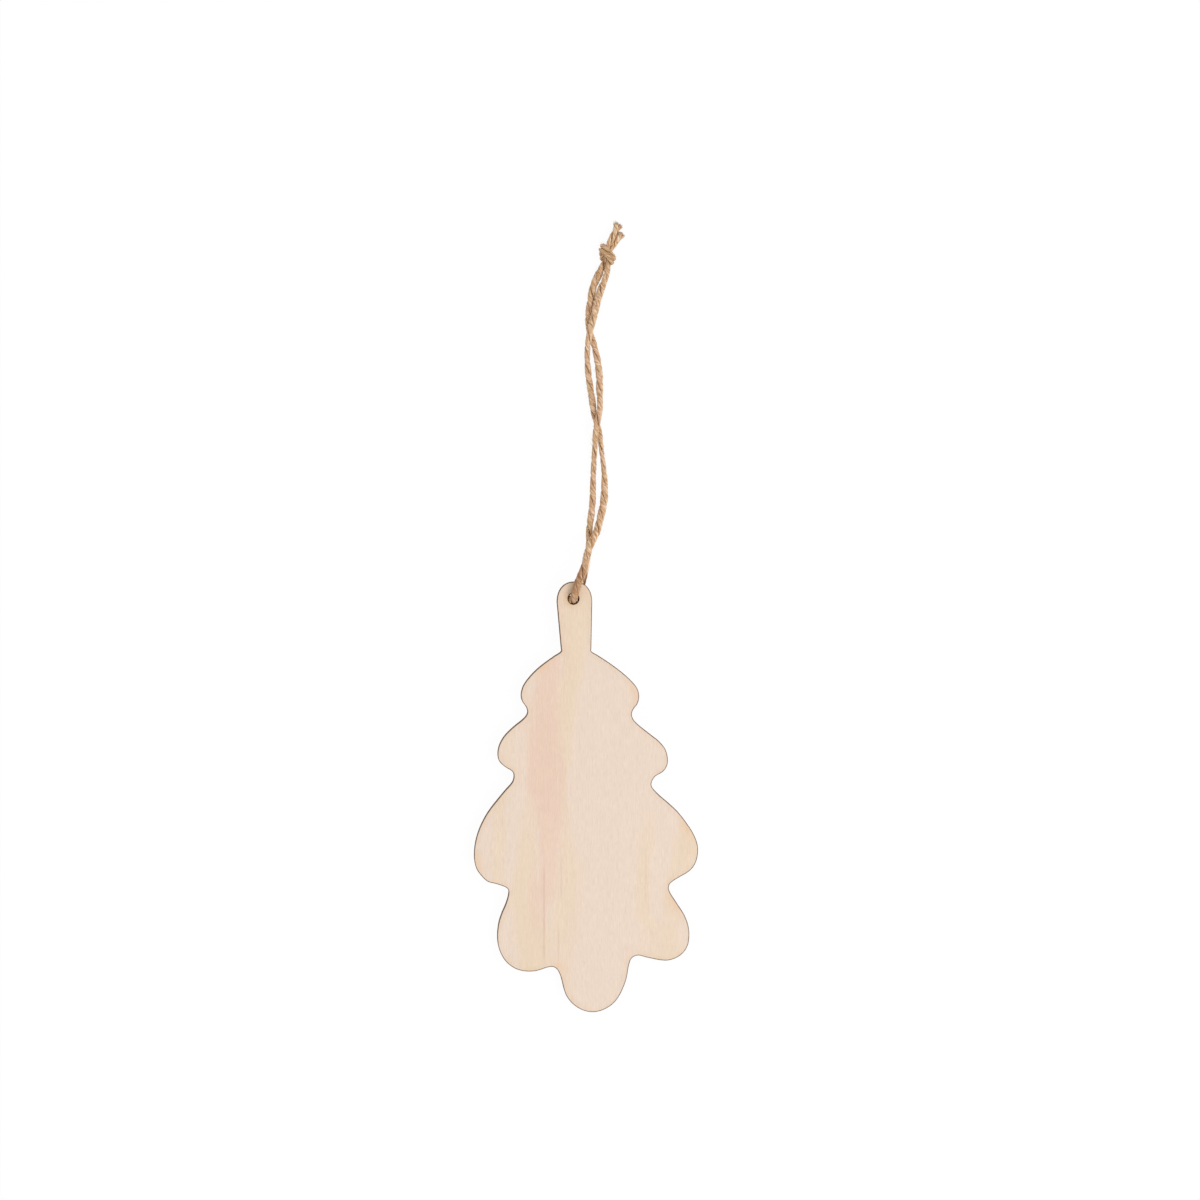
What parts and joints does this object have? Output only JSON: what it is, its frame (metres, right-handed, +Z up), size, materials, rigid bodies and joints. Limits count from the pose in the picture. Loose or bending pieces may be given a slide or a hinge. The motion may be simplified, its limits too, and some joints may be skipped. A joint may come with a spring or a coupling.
{
  "type": "wooden leaf tag",
  "caption": "Flat oak-leaf tag cut from thin three-ply board, with a drilled stem and a long knotted loop of jute twine.",
  "frame": {"origin": "Middle of the leaf's outline, on the surface that the tag lies on.", "axes": "+X to the right of the leaf, +Y from the bottom lobe towards the stem and the knot, +Z up out of the front face."},
  "size_m": [0.0762, 0.2682, 0.0079],
  "materials": {
    "front_veneer": "sanded, unfinished pale basswood",
    "back_veneer": "sanded, unfinished pale basswood",
    "core_veneer": "laser-scorched edge, grain across the leaf",
    "glue_line": "dark cured glue",
    "jute_twine": "two-strand natural jute, slightly fuzzy"
  },
  "bodies": {
    "leaf": {"front_veneer": "front_veneer", "front_glue_line": "glue_line", "core_veneer": "core_veneer", "back_glue_line": "glue_line", "back_veneer": "back_veneer"},
    "twine_loop": {"twine_front_leg": "jute_twine", "twine_through_hole": "jute_twine", "twine_back_leg": "jute_twine", "knot": "jute_twine", "twine_long_tail": "jute_twine", "twine_short_tail": "jute_twine"}
  },
  "joints": [
    {"name": "loop_swing", "type": "hinge", "parent": "leaf", "child": "twine_loop", "pos_m": [-0.0043, 0.06749, 0.0039], "axis": [0, 0, 1], "range_deg": [-120, 150]}
  ]
}
